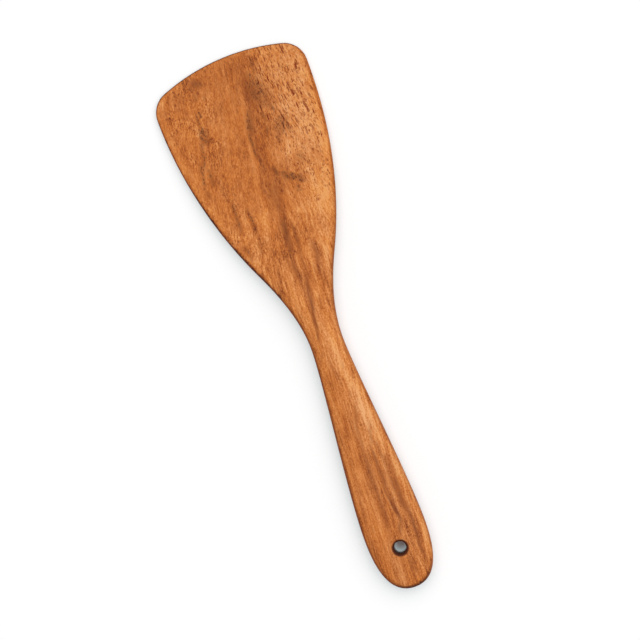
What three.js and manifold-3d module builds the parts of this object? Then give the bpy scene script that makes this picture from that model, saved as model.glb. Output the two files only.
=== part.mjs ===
// A wooden spatula carved from one board: a broad thin blade with a bowed, slanted front edge,
// a slim neck, and a handle that swells towards a round end with a hanging hole in it.
// Millimetres, +Z up. It lies on its flat underside, handle towards -Y and blade towards +Y.

import * as THREE from 'three';
import { mergeVertices } from 'three/addons/utils/BufferGeometryUtils.js';
import Module from 'manifold-3d';

// Stretches along the length, from the end of the handle to the tip of the front edge
const SWELL_LENGTH = 33;       // handle end to the handle's widest place
const GRIP_LENGTH = 107;       // widest place of the handle to the neck
const SHOULDER_LENGTH = 46;    // neck to the steepest place of the blade's flank
const BLADE_LENGTH = 119;      // flank to the tip of the front edge

// Widths across
const HANDLE_WIDTH = 34.5;
const NECK_WIDTH = 18.3;
const FLANK_WIDTH = 43.1;
const BLADE_WIDTH = 87.9;

// How far the middle of the hand-shaped outline lies right of the blade's middle
const HANDLE_OFFSET = 0.7;
const NECK_OFFSET = 1.2;
const FLANK_OFFSET = 0.85;

// Front of the blade
const FRONT_RADIUS = 112;      // bow of the front edge
const FRONT_OFFSET = 5.2;      // how far the bow's tip lies right of the middle, which slants the edge
const CORNER_RADIUS = 13.3;

// Thickness
const HANDLE_THICKNESS = 11;
const FRONT_THICKNESS = 2.6;
const HANDLE_CROWN = 0.8;      // rise of the handle's top from its edges to its middle
const CROWN_SHARE = 0.85;      // share of the way from edge to spine over which it rises
const HANDLE_EDGE_RADIUS = 3.5;
const BLADE_EDGE_RADIUS = 1.4;
const EDGE_LIMIT = 0.49;       // most of the thickness that one rounded edge may take

// Hanging hole
const HOLE_DIAMETER = 6.8;
const HOLE_FROM_END = 23.1;
const HOLE_OFFSET = -0.3;      // place of its middle across the handle, left of the middle line
const HOLE_MOUTH_RADIUS = 1.1; // rounding where it meets the two faces

// Angle between the blade's flank and the length, in degrees
const FLANK_ANGLE = 25.6;

// Fullness of the outline's curves: how far along its span a curve keeps the direction of that end
const END_FULLNESS = 0.9;
const SWELL_FULLNESS_BACK = 0.4;
const SWELL_FULLNESS_FORWARD = 0.24;
const NECK_FULLNESS_BACK = 0.17;
const NECK_FULLNESS_FORWARD = 0.22;
const FLANK_FULLNESS_BACK = 0.52;
const FLANK_FULLNESS_FORWARD = 0.45;
const SIDE_FULLNESS = 0.22;

// The same for the side view: the top leaves the handle level and meets the front edge at a slope
const TAPER_FULLNESS_BACK = 0.4;
const TAPER_FULLNESS_FRONT = 0.4;
const FRONT_SLOPE = 2.4;       // degrees

// Fineness of the surface
const OUTLINE_STEP = 2.5;      // spacing of points along the outline
const CORNER_STEPS = 12;       // points round each corner of the blade
const EDGE_STEPS = 5;          // facets round each rounded edge
const TAPER_STEPS = 200;       // points along the side view's curve
const HOLE_STEPS = 32;         // facets round the hole
const TOP_RINGS = 3;           // rings of the top between its rounded edge and its flat middle

// Stations along the length, with the middle of the length at zero
const LENGTH = SWELL_LENGTH + GRIP_LENGTH + SHOULDER_LENGTH + BLADE_LENGTH;
const END_Y = -LENGTH / 2;
const TIP_Y = LENGTH / 2;
const SWELL_Y = END_Y + SWELL_LENGTH;
const NECK_Y = SWELL_Y + GRIP_LENGTH;
const FLANK_Y = NECK_Y + SHOULDER_LENGTH;
const HOLE_Y = END_Y + HOLE_FROM_END;

// Outline

// Centre of the corner that is tangent to the blade's side and, from inside, to the bowed front edge.
// side is +1 for the right corner and -1 for the left one.
function cornerCentre(side, bowCentre) {
  const x = side * (BLADE_WIDTH / 2 - CORNER_RADIUS);
  const reach = FRONT_RADIUS - CORNER_RADIUS;
  const y = bowCentre.y + Math.sqrt(reach ** 2 - (x - bowCentre.x) ** 2);
  return new THREE.Vector2(x, y);
}

// The curves of one side from the end of the handle up to the blade's corner at cornerY.
function sideCurves(side, cornerY) {
  const point = (middle, halfWidth, y) => new THREE.Vector2(middle + side * halfWidth, y);
  const angle = THREE.MathUtils.degToRad(FLANK_ANGLE);
  const handlePoint = (share, y) => point(HANDLE_OFFSET, share * HANDLE_WIDTH / 2, y);
  const neckPoint = (y) => point(NECK_OFFSET, NECK_WIDTH / 2, y);
  const bladePoint = (y) => point(0, BLADE_WIDTH / 2, y);
  const flankPoint = (distance) => point(
    FLANK_OFFSET,
    FLANK_WIDTH / 2 + distance * Math.sin(angle),
    FLANK_Y + distance * Math.cos(angle),
  );
  const sideLength = cornerY - FLANK_Y;
  const handleEnd = new THREE.CubicBezierCurve(
    handlePoint(0, END_Y),
    handlePoint(END_FULLNESS, END_Y),
    handlePoint(1, SWELL_Y - SWELL_FULLNESS_BACK * SWELL_LENGTH),
    handlePoint(1, SWELL_Y),
  );
  const grip = new THREE.CubicBezierCurve(
    handlePoint(1, SWELL_Y),
    handlePoint(1, SWELL_Y + SWELL_FULLNESS_FORWARD * GRIP_LENGTH),
    neckPoint(NECK_Y - NECK_FULLNESS_BACK * GRIP_LENGTH),
    neckPoint(NECK_Y),
  );
  const shoulder = new THREE.CubicBezierCurve(
    neckPoint(NECK_Y),
    neckPoint(NECK_Y + NECK_FULLNESS_FORWARD * SHOULDER_LENGTH),
    flankPoint(-FLANK_FULLNESS_BACK * SHOULDER_LENGTH),
    flankPoint(0),
  );
  const flank = new THREE.CubicBezierCurve(
    flankPoint(0),
    flankPoint(FLANK_FULLNESS_FORWARD * sideLength),
    bladePoint(cornerY - SIDE_FULLNESS * sideLength),
    bladePoint(cornerY),
  );
  return [handleEnd, grip, shoulder, flank];
}

// Number of steps that keeps a curve's points about OUTLINE_STEP apart.
function stepsAlong(curve) {
  return Math.ceil(curve.getLength() / OUTLINE_STEP);
}

// Points along a curve without its last one, which the next curve starts with.
function pointsAlong(curve, steps) {
  return curve.getSpacedPoints(steps).slice(0, -1);
}

// Points round the whole outline, anticlockwise seen from above, from the handle's end. Both sides have
// equally many, so a point and its partner on the other side are equally far from the first point.
function outlinePoints() {
  const bowCentre = new THREE.Vector2(FRONT_OFFSET, TIP_Y - FRONT_RADIUS);
  const right = cornerCentre(1, bowCentre);
  const left = cornerCentre(-1, bowCentre);
  const rightAngle = right.clone().sub(bowCentre).angle();
  const leftAngle = left.clone().sub(bowCentre).angle();
  const arc = (centre, radius, from, to) => (
    new THREE.ArcCurve(centre.x, centre.y, radius, from, to, false)
  );
  const rightBow = arc(bowCentre, FRONT_RADIUS, rightAngle, Math.PI / 2);
  const leftBow = arc(bowCentre, FRONT_RADIUS, Math.PI / 2, leftAngle);
  const rightCurves = sideCurves(1, right.y);
  const leftCurves = sideCurves(-1, left.y);
  const sideSteps = rightCurves.map(stepsAlong);
  const bowSteps = stepsAlong(leftBow);
  const upRightSide = rightCurves.flatMap((curve, index) => pointsAlong(curve, sideSteps[index]));
  const upLeftSide = leftCurves.flatMap((curve, index) => pointsAlong(curve, sideSteps[index]));
  const downLeftSide = upLeftSide.slice(1).reverse();
  return [
    ...upRightSide,
    ...pointsAlong(arc(right, CORNER_RADIUS, 0, rightAngle), CORNER_STEPS),
    ...pointsAlong(rightBow, bowSteps),
    ...pointsAlong(leftBow, bowSteps),
    ...arc(left, CORNER_RADIUS, leftAngle, Math.PI).getSpacedPoints(CORNER_STEPS),
    ...downLeftSide,
  ];
}

// Unit vector into the wood at each outline point, square to the chord between its neighbours.
function inwardDirections(outline) {
  return outline.map((_, index) => {
    const before = outline.at(index - 1);
    const after = outline[(index + 1) % outline.length];
    const chord = after.clone().sub(before).normalize();
    return new THREE.Vector2(-chord.y, chord.x);
  });
}

// Thickness

// Side view of the top, from the neck to the tip: distance along the length against height.
const taperLength = TIP_Y - NECK_Y;
const taperCurve = new THREE.CubicBezierCurve(
  new THREE.Vector2(NECK_Y, HANDLE_THICKNESS),
  new THREE.Vector2(NECK_Y + TAPER_FULLNESS_BACK * taperLength, HANDLE_THICKNESS),
  new THREE.Vector2(
    TIP_Y - TAPER_FULLNESS_FRONT * taperLength,
    FRONT_THICKNESS + TAPER_FULLNESS_FRONT * taperLength * Math.tan(THREE.MathUtils.degToRad(FRONT_SLOPE)),
  ),
  new THREE.Vector2(TIP_Y, FRONT_THICKNESS),
);
const taperPoints = taperCurve.getPoints(TAPER_STEPS);

// Height of the middle of the top at y.
function thicknessAt(y) {
  if (y <= NECK_Y) return HANDLE_THICKNESS;
  const index = taperPoints.findIndex((point) => point.x >= y);
  if (index < 1) return FRONT_THICKNESS;
  const before = taperPoints[index - 1];
  const after = taperPoints[index];
  return THREE.MathUtils.mapLinear(y, before.x, after.x, before.y, after.y);
}

// 1 on the handle, falling to 0 at the tip as the thickness does.
function handleShare(y) {
  return (thicknessAt(y) - FRONT_THICKNESS) / (HANDLE_THICKNESS - FRONT_THICKNESS);
}

// Rounding of the edges at y, limited by the thickness it is cut into.
function edgeRadiusAt(y) {
  const radius = THREE.MathUtils.lerp(BLADE_EDGE_RADIUS, HANDLE_EDGE_RADIUS, handleShare(y));
  const wall = thicknessAt(y) - HANDLE_CROWN * handleShare(y);
  return Math.min(radius, EDGE_LIMIT * wall);
}

// Height of the top at y: crownShare runs from 0 at its rounded edge to 1 at its flat middle.
function topHeight(y, crownShare) {
  return thicknessAt(y) - HANDLE_CROWN * handleShare(y) * (1 - crownShare) ** 2;
}

// A quarter round from a face to the wall beside it, in shares of its radius: how far a point lies
// from the wall, and how far it has turned away from the face.
const QUARTER_ROUND = Array.from({ length: EDGE_STEPS + 1 }, (_, step) => {
  const angle = (step / EDGE_STEPS) * Math.PI / 2;
  return { fromWall: 1 - Math.sin(angle), fromFace: 1 - Math.cos(angle) };
});

// Body

// The spine that the top's rings close in on: the handle's middle line, short of the two ends.
function spinePoint(point) {
  const spineEnd = TIP_Y - BLADE_WIDTH / 2;
  return new THREE.Vector2(HANDLE_OFFSET, THREE.MathUtils.clamp(point.y, SWELL_Y, spineEnd));
}

// Rings of points from the underside, round the edge and over the top.
function bodyRings() {
  const outline = outlinePoints();
  const inward = inwardDirections(outline);
  const radii = outline.map((point) => edgeRadiusAt(point.y));
  const inset = (index, distance) => outline[index].clone().addScaledVector(inward[index], distance);
  const ring = (place) => outline.map((_, index) => place(index));
  const rings = [];
  for (const { fromWall, fromFace } of QUARTER_ROUND) {
    rings.push(ring((index) => {
      const point = inset(index, radii[index] * fromWall);
      return new THREE.Vector3(point.x, point.y, radii[index] * fromFace);
    }));
  }
  for (const { fromWall, fromFace } of QUARTER_ROUND.toReversed()) {
    rings.push(ring((index) => {
      const point = inset(index, radii[index] * fromWall);
      const edgeTop = topHeight(inset(index, radii[index]).y, 0);
      return new THREE.Vector3(point.x, point.y, edgeTop - radii[index] * fromFace);
    }));
  }
  for (let step = 1; step <= TOP_RINGS; step += 1) {
    const crownShare = step / TOP_RINGS;
    rings.push(ring((index) => {
      const edge = inset(index, radii[index]);
      const point = edge.lerp(spinePoint(edge), crownShare * CROWN_SHARE);
      return new THREE.Vector3(point.x, point.y, topHeight(point.y, crownShare));
    }));
  }
  return rings;
}

// Triangles across a ring of count points, in rungs between each point and its partner.
function rungTriangles(count) {
  const triangles = [];
  for (let right = 0; right < count / 2; right += 1) {
    const left = (count - right) % count;
    const leftNext = count - right - 1;
    const rightNext = right + 1;
    if (rightNext !== leftNext) triangles.push([right, rightNext, leftNext]);
    if (right !== left) triangles.push([right, leftNext, left]);
  }
  return triangles;
}

// A closed geometry over rings of equal count, capped at both ends.
function loftGeometry(rings) {
  const count = rings[0].length;
  const indices = [];
  for (let level = 0; level < rings.length - 1; level += 1) {
    for (let index = 0; index < count; index += 1) {
      const next = (index + 1) % count;
      const lower = level * count;
      const upper = lower + count;
      indices.push(lower + index, lower + next, upper + next);
      indices.push(lower + index, upper + next, upper + index);
    }
  }
  const lastStart = (rings.length - 1) * count;
  for (const [a, b, c] of rungTriangles(count)) {
    indices.push(a, c, b);
    indices.push(lastStart + a, lastStart + b, lastStart + c);
  }
  const geometry = new THREE.BufferGeometry().setFromPoints(rings.flat());
  geometry.setIndex(indices);
  return geometry;
}

// Hanging hole

// The space of the hole: an upright bore whose mouths round out into the two faces, run past both.
function holeGeometry() {
  const boreRadius = HOLE_DIAMETER / 2;
  const mouthRadius = boreRadius + HOLE_MOUTH_RADIUS;
  const top = topHeight(HOLE_Y, 1);
  const past = HANDLE_CROWN + HOLE_MOUTH_RADIUS;
  const lowerMouth = QUARTER_ROUND.map(({ fromWall, fromFace }) => new THREE.Vector2(
    boreRadius + HOLE_MOUTH_RADIUS * fromWall,
    HOLE_MOUTH_RADIUS * fromFace,
  ));
  const upperMouth = lowerMouth.map((point) => new THREE.Vector2(point.x, top - point.y)).reverse();
  const profile = [
    new THREE.Vector2(0, -past),
    new THREE.Vector2(mouthRadius, -past),
    ...lowerMouth,
    ...upperMouth,
    new THREE.Vector2(mouthRadius, top + past),
    new THREE.Vector2(0, top + past),
  ];
  const geometry = new THREE.LatheGeometry(profile, HOLE_STEPS);
  geometry.rotateX(Math.PI / 2);
  geometry.translate(HANDLE_OFFSET + HOLE_OFFSET, HOLE_Y, 0);
  return geometry;
}

// Cutting

const wasm = await Module();
wasm.setup();

function toSolid(geometry) {
  const bare = geometry.clone();
  bare.deleteAttribute('normal');
  bare.deleteAttribute('uv');
  const merged = mergeVertices(bare);
  return new wasm.Manifold(new wasm.Mesh({
    numProp: 3,
    vertProperties: new Float32Array(merged.attributes.position.array),
    triVerts: new Uint32Array(merged.index.array),
  }));
}

function toGeometry(solid) {
  const mesh = solid.getMesh();
  const geometry = new THREE.BufferGeometry();
  geometry.setAttribute('position', new THREE.BufferAttribute(new Float32Array(mesh.vertProperties), 3));
  geometry.setIndex(new THREE.BufferAttribute(new Uint32Array(mesh.triVerts), 1));
  geometry.computeVertexNormals();
  return geometry;
}

// Spatula

const wood = new THREE.MeshStandardMaterial({ color: 0xc57b49, roughness: 0.55, metalness: 0 });
const body = toSolid(loftGeometry(bodyRings()));
const spatula = new THREE.Mesh(toGeometry(body.subtract(toSolid(holeGeometry()))), wood);
spatula.name = 'spatula';

const group = new THREE.Group();
group.add(spatula);

export default group;
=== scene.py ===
"""The look of the wooden spatula: its smooth wooden body over the CAD frame, with floor, light and camera."""
import math

import bmesh
import bpy
import numpy as np
from mathutils import Matrix, Vector


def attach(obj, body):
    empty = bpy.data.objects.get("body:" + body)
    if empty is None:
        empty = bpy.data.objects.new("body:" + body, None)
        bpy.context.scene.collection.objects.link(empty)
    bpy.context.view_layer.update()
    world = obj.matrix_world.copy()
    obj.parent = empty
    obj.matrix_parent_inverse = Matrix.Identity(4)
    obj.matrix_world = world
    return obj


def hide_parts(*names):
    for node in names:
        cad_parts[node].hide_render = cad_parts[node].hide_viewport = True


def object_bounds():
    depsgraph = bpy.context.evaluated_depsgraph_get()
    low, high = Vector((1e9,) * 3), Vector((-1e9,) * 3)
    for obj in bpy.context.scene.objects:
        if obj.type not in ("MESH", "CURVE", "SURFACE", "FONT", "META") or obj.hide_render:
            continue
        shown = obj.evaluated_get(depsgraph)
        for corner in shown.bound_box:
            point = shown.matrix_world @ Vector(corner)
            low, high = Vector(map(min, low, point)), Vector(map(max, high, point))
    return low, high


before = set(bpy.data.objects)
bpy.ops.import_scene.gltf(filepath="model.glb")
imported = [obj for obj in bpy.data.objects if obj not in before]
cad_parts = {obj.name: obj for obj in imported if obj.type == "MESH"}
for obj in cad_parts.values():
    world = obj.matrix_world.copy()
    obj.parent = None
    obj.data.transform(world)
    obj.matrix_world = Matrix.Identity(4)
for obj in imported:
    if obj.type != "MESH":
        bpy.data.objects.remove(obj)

cad_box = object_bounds()

# Sizes in millimetres, in the frame of the CAD, are turned into metres with this
MM = 0.001

# Body

WELD_DISTANCE = 0.001 * MM
FACE_SIZE = 0.5 * MM
SMOOTHING_ROUNDS = 25
SMOOTHING_STEP = 0.6
SWELLING_STEP = -0.625

# Hanging hole as in the CAD, in mm
HOLE_MIDDLE = (0.4, -129.4)
BORE_RADIUS = 3.4

# Middles of the ring round the hole, partly burnt wood and partly painted shade of the bore, and of the
# painted shade on the floor under it, in mm
BURNT_AND_SHADED_MIDDLE = (0.5, -129.6)
SHADE_MIDDLE = (1.6, -127.6)

# How far the figure of the grain is shifted across and along on the underside, in mm
UNDERSIDE_DRIFT = (3.0, 6.0)

# How far past its last points a streak fades out, in mm
STREAK_END = 0.8

# Waves of the streaks: their reach across in mm, and the mm along and across for each radian
WAVES = [(0.25, 5.3, 4.0), (0.12, 2.1, -2.2)]

# What is left of the figure on upright sides, and the upward parts of the normal where that begins and ends
SIDE_SHARE = 0.35
UPRIGHT = 0.1
LEVEL = 0.45

# Figure of this board's grain, seen from above, with painted shade and highlights along the rims. Each streak
# has a tone, lighter above 0 and darker below, and a line of places from the blade's end to the handle's:
# across, along and half width in mm
FIGURE_AND_RIM_LIGHT = [
    # Broad zones
    (-0.08, [(2.0, 150.0, 8.0), (-2.0, 100.0, 8.0)]),
    (0.06, [(30.0, 140.0, 10.0), (24.0, 90.0, 10.0)]),
    (0.16, [(2.0, 22.0, 14.0), (1.5, -32.0, 14.0)]),
    (0.17, [(3.0, -30.0, 13.0), (3.0, -76.0, 13.0)]),
    (0.05, [(1.0, -80.0, 20.0), (1.0, -150.0, 20.0)]),
    (0.13, [(-6.0, -72.0, 5.0), (-6.0, -122.0, 5.0)]),
    (0.05, [(-28.0, 140.0, 12.0), (-24.0, 104.0, 12.0)]),
    (-0.12, [(-6.5, -46.0, 4.0), (-7.0, -66.0, 4.0)]),
    (0.05, [(-8.0, -132.0, 6.0), (-6.0, -148.0, 6.0)]),
    # Blade, darker and lighter zones
    (-0.24, [(14.0, 151.0, 4.5), (14.0, 142.0, 4.5)]),
    (0.09, [(-23.0, 151.0, 5.0), (-23.0, 145.0, 5.0)]),
    (0.08, [(30.0, 151.0, 5.0), (31.0, 145.0, 5.0)]),
    (-0.17, [(11.0, 138.0, 7.0), (11.0, 122.0, 8.0), (9.0, 106.0, 8.0), (11.0, 92.0, 8.0)]),
    (-0.13, [(14.0, 90.0, 9.0), (10.0, 72.0, 8.0)]),
    (0.14, [(33.0, 126.0, 5.0), (32.0, 94.0, 5.0)]),
    (0.18, [(27.5, 82.0, 3.5), (24.5, 66.0, 3.5), (25.0, 52.0, 3.5)]),
    (0.13, [(-16.0, 137.0, 3.0), (-15.5, 122.0, 2.5), (-17.0, 106.0, 1.5)]),
    (0.12, [(-1.0, 140.0, 2.5), (-4.0, 129.0, 4.0), (-5.0, 116.0, 4.0)]),
    (0.09, [(-34.0, 128.0, 3.0), (-33.0, 116.0, 3.0)]),
    (-0.13, [(-31.0, 142.0, 3.0), (-31.0, 135.0, 3.0)]),
    (0.20, [(-39.0, 142.0, 2.6), (-40.0, 137.0, 2.6)]),
    (0.12, [(-36.0, 99.0, 3.0), (-34.5, 92.0, 3.0)]),
    (-0.13, [(-20.0, 92.0, 2.5), (-20.0, 82.0, 2.5)]),
    (0.10, [(-30.0, 107.0, 3.0), (-27.0, 91.0, 2.0)]),
    (0.10, [(-25.0, 76.0, 3.0), (-27.0, 64.0, 4.0), (-20.0, 52.0, 4.0)]),
    (-0.17, [(16.5, 148.0, 3.2), (16.5, 138.0, 3.0)]),
    (-0.11, [(6.0, 151.0, 2.2), (6.0, 141.0, 2.2)]),
    (-0.10, [(-6.0, 152.0, 4.0), (-7.0, 138.0, 3.5)]),
    (-0.12, [(-6.5, 130.0, 3.0), (-6.5, 122.0, 3.0)]),
    (-0.15, [(17.5, 129.0, 1.8), (18.5, 118.0, 2.4)]),
    (-0.14, [(22.5, 110.0, 1.6), (22.5, 103.0, 1.6)]),
    (-0.15, [(20.5, 78.0, 2.6), (18.0, 70.0, 2.4)]),
    (-0.10, [(22.8, 85.0, 2.2), (22.5, 71.0, 2.6)]),
    (-0.10, [(14.5, 70.0, 3.0), (11.0, 65.0, 3.0)]),
    (-0.08, [(15.0, 146.0, 6.0), (15.0, 137.0, 6.0)]),
    (0.16, [(-25.0, 123.0, 1.8), (-25.0, 117.0, 1.8)]),
    (-0.14, [(-21.5, 113.0, 2.6), (-20.5, 108.0, 2.6)]),
    (-0.10, [(-12.0, 88.0, 2.4), (-12.0, 76.0, 2.4)]),
    (-0.10, [(-4.0, 92.0, 2.6), (-4.5, 84.0, 2.6)]),
    (-0.12, [(-2.2, 84.0, 1.2), (-2.4, 64.0, 1.2)]),
    (0.12, [(2.2, 96.0, 0.9), (3.1, 78.0, 1.1), (3.1, 66.0, 1.1), (1.1, 54.0, 0.9)]),
    (-0.09, [(6.8, 82.0, 1.4), (6.2, 62.0, 1.4)]),
    (0.18, [(-17.0, 70.0, 1.6), (-17.5, 57.0, 1.8), (-19.0, 48.0, 1.6)]),
    (-0.08, [(-24.5, 63.0, 2.2), (-24.5, 58.0, 2.2)]),
    (0.12, [(15.0, 63.0, 5.0), (14.0, 59.0, 5.0)]),
    # Shoulder, darker and lighter zones
    (0.22, [(-17.6, 46.0, 1.6), (-18.0, 36.0, 1.7)]),
    (0.18, [(8.5, 58.0, 1.8), (10.5, 49.0, 1.8)]),
    (0.14, [(0.0, 64.0, 1.4), (-0.5, 54.0, 1.4)]),
    (-0.14, [(4.8, 64.0, 1.2), (4.0, 52.0, 1.2)]),
    (0.18, [(19.0, 46.0, 2.2), (18.0, 36.0, 2.2)]),
    (0.20, [(-7.5, 66.0, 1.8), (-8.0, 50.0, 1.8)]),
    (-0.32, [(-13.4, 62.0, 1.2), (-12.8, 48.0, 1.3)]),
    (-0.14, [(-1.5, 52.0, 4.0), (-1.0, 36.0, 4.0)]),
    (0.20, [(8.5, 49.0, 1.8), (9.0, 40.0, 2.0), (8.8, 26.0, 2.0)]),
    (0.15, [(-10.5, 42.0, 2.4), (-9.5, 22.0, 2.4)]),
    # Neck and handle, darker and lighter zones
    (0.16, [(9.4, 33.0, 1.8), (8.4, 25.0, 1.8), (5.0, 21.0, 1.6), (3.4, 8.0, 1.6), (1.4, 0.0, 1.8),
            (1.2, -6.0, 1.8), (3.8, -12.0, 1.8), (5.4, -22.0, 2.0), (5.2, -31.0, 2.4), (5.8, -38.0, 2.2)]),
    (-0.17, [(-6.6, -60.0, 1.4), (-8.0, -73.0, 1.5), (-8.8, -84.0, 1.5)]),
    (-0.12, [(-6.5, 10.0, 2.5), (-6.5, 1.0, 2.0)]),
    (-0.14, [(-6.0, -12.0, 3.0), (-5.0, -23.0, 3.0)]),
    (0.18, [(5.6, -25.0, 2.2), (5.5, -34.0, 2.2)]),
    (0.08, [(0.0, -42.0, 2.0), (-3.5, -53.0, 2.0)]),
    (0.10, [(-6.0, -44.0, 2.5), (-5.5, -58.0, 2.5)]),
    (0.22, [(-4.8, -66.0, 1.8), (-4.8, -78.0, 2.2), (-5.0, -91.0, 1.8)]),
    (0.18, [(10.4, -64.0, 1.8), (10.8, -80.0, 1.8)]),
    (-0.18, [(2.3, -104.0, 1.3), (2.4, -116.0, 1.6), (2.6, -124.0, 1.3)]),
    (0.10, [(-10.5, -112.0, 2.5), (-10.5, -126.0, 2.5)]),
    (-0.16, [(-12.5, -130.0, 3.0), (-9.5, -142.0, 4.0), (-6.0, -150.0, 4.0)]),
    (-0.14, [(-4.6, -130.0, 1.5), (-4.6, -144.0, 1.5)]),
    (-0.16, [(0.4, -120.0, 1.8), (-0.2, -126.0, 2.8)]),
    (0.12, [(4.0, -144.0, 3.0), (3.5, -149.0, 3.0)]),
    # Light strip left of the blade's middle, and the darker bands beside it
    (0.20, [(4.5, 136.0, 1.0), (2.0, 120.0, 1.7), (-0.5, 110.0, 1.7), (-1.5, 98.0, 1.7), (-3.0, 86.0, 1.9),
            (-5.0, 73.0, 1.8), (-6.5, 56.0, 1.3)]),
    (-0.10, [(7.5, 150.0, 1.8), (7.5, 140.0, 2.0), (7.0, 130.0, 2.0), (4.0, 118.0, 2.0)]),
    (-0.16, [(0.8, 107.0, 1.0), (0.2, 98.0, 1.2), (2.0, 91.0, 3.0), (3.8, 84.0, 4.8), (2.6, 74.0, 4.8),
             (1.6, 62.0, 4.0), (1.2, 46.0, 2.4)]),
    (-0.08, [(4.5, 91.0, 1.6), (7.5, 84.0, 1.8)]),
    (-0.12, [(4.4, 104.0, 1.6), (4.6, 97.0, 2.2), (5.4, 89.0, 1.8)]),
    # Blade, darker streaks and patches of the left half
    (-0.09, [(-36.5, 141.0, 1.0), (-36.5, 126.0, 1.1), (-37.5, 112.0, 1.2)]),
    (-0.10, [(-37.0, 114.0, 1.8), (-37.5, 107.0, 1.6)]),
    (-0.08, [(-30.5, 134.0, 1.6), (-30.0, 127.0, 1.8)]),
    (-0.08, [(-20.0, 148.0, 5.0), (-17.0, 140.0, 5.0)]),
    (-0.06, [(-10.0, 130.0, 3.5), (-9.5, 123.0, 3.5)]),
    # Blade, light patches
    (0.03, [(-7.0, 124.0, 5.0), (-9.0, 102.0, 5.0)]),
    (0.12, [(18.0, 98.0, 3.5), (18.5, 90.0, 3.5)]),
    (0.12, [(29.5, 71.0, 2.5), (28.0, 60.0, 3.0)]),
    (0.10, [(6.0, 77.0, 0.7), (10.0, 71.0, 0.8), (13.5, 66.0, 0.8)]),
    (0.16, [(7.0, 62.0, 0.8), (6.5, 53.0, 0.8)]),
    (0.10, [(-8.0, 73.0, 1.2), (-8.5, 57.0, 1.2)]),
    (0.10, [(-26.5, 85.0, 0.9), (-25.0, 73.0, 0.9)]),
    # Strips along the left edge; the dark ones at the rim are painted shade on the rounding, which faces away
    # from the light
    (0.14, [(-41.6, 137.0, 2.0), (-41.6, 122.0, 2.0), (-40.6, 108.0, 2.0), (-38.7, 94.0, 2.0)]),
    (0.14, [(-37.0, 92.0, 2.4), (-33.5, 74.0, 2.4), (-28.6, 58.0, 2.4)]),
    (0.13, [(-25.6, 54.0, 2.0), (-21.0, 40.0, 2.0), (-17.0, 31.0, 2.0), (-13.0, 21.0, 1.6)]),
    (-0.26, [(-43.5, 124.0, 0.5), (-42.3, 108.0, 0.5), (-39.8, 92.0, 0.5)]),
    (-0.52, [(-39.7, 92.0, 0.7), (-37.6, 82.0, 0.7), (-35.0, 72.0, 0.7), (-30.6, 58.0, 0.7)]),
    (-0.52, [(-30.4, 58.0, 0.9), (-25.7, 46.0, 1.4), (-20.8, 35.0, 1.5), (-16.1, 24.0, 1.1),
             (-12.4, 14.0, 0.8)]),
    (-0.14, [(-12.2, 14.0, 0.9), (-8.6, 0.0, 0.9), (-7.5, -12.0, 0.9)]),
    (-0.06, [(-8.4, -28.0, 2.4), (-11.2, -60.0, 2.6), (-13.6, -96.0, 2.6), (-14.4, -118.0, 2.2)]),
    # Strips along the right edge; the dark ones at the rim are partly a darker edge and partly painted shade,
    # and the light ones just inside are a painted highlight on the rounding, which faces the light
    (-0.42, [(42.9, 140.0, 0.7), (42.9, 124.0, 0.7), (41.7, 108.0, 0.7), (39.7, 92.0, 0.7)]),
    (-0.32, [(40.3, 92.0, 0.7), (36.5, 74.0, 0.7), (31.9, 58.0, 0.7)]),
    (-0.25, [(39.5, 124.0, 1.6), (39.5, 119.0, 1.6)]),
    (-0.18, [(41.3, 145.0, 1.6), (42.2, 138.0, 1.6)]),
    (0.10, [(40.3, 142.0, 1.8), (40.0, 116.0, 1.8)]),
    (0.10, [(40.0, 112.0, 3.0), (36.0, 86.0, 3.0), (32.0, 70.0, 3.0), (27.0, 54.0, 3.0)]),
    (0.20, [(26.6, 54.0, 2.2), (22.0, 40.0, 2.2), (17.0, 30.0, 2.0), (13.0, 19.0, 1.8)]),
    (0.06, [(10.3, 12.0, 2.0), (8.0, -8.0, 2.0), (8.2, -24.0, 2.0)]),
    (0.17, [(9.4, -34.0, 2.2), (10.6, -50.0, 2.2), (12.4, -68.0, 2.2), (13.2, -80.0, 2.0)]),
    (-0.24, [(11.7, -34.0, 0.8), (13.4, -56.0, 0.8), (14.4, -72.0, 0.8)]),
    (0.16, [(12.0, 10.0, 0.9), (10.2, 0.0, 0.9), (9.4, -10.0, 0.9), (9.6, -20.0, 0.9), (10.3, -30.0, 0.9),
            (12.0, -50.0, 0.9), (13.8, -70.0, 0.9), (15.5, -90.0, 0.9), (16.7, -110.0, 0.9),
            (17.0, -120.0, 0.9), (16.5, -130.0, 0.9), (14.6, -140.0, 0.9)]),
    (0.26, [(13.6, -76.0, 1.7), (14.3, -90.0, 1.8), (15.0, -104.0, 1.8), (15.4, -118.0, 1.8),
            (15.2, -130.0, 1.6), (13.8, -141.0, 1.4)]),
    # Neck, light streaks
    (0.12, [(-6.6, 35.0, 1.0), (-6.2, 24.0, 1.1), (-6.6, 14.0, 1.0)]),
    (0.10, [(4.4, 24.0, 1.0), (4.8, 12.0, 1.0)]),
    (0.24, [(5.4, -2.0, 2.2), (5.2, -14.0, 2.4), (4.4, -26.0, 2.4), (4.4, -33.0, 2.4)]),
    (0.12, [(8.4, -32.0, 1.5), (8.6, -46.0, 1.4)]),
    # Handle, light streaks
    (0.20, [(4.6, -30.0, 2.4), (6.2, -42.0, 3.2), (7.4, -52.0, 3.2), (9.0, -62.0, 2.4), (10.6, -71.0, 1.8)]),
    (0.10, [(-3.5, -54.0, 1.0), (-3.5, -71.0, 1.0)]),
    (0.10, [(3.2, -61.0, 0.9), (2.0, -76.0, 0.9), (1.5, -89.0, 0.9)]),
    # A painted highlight on the handle's right rounding
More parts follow.
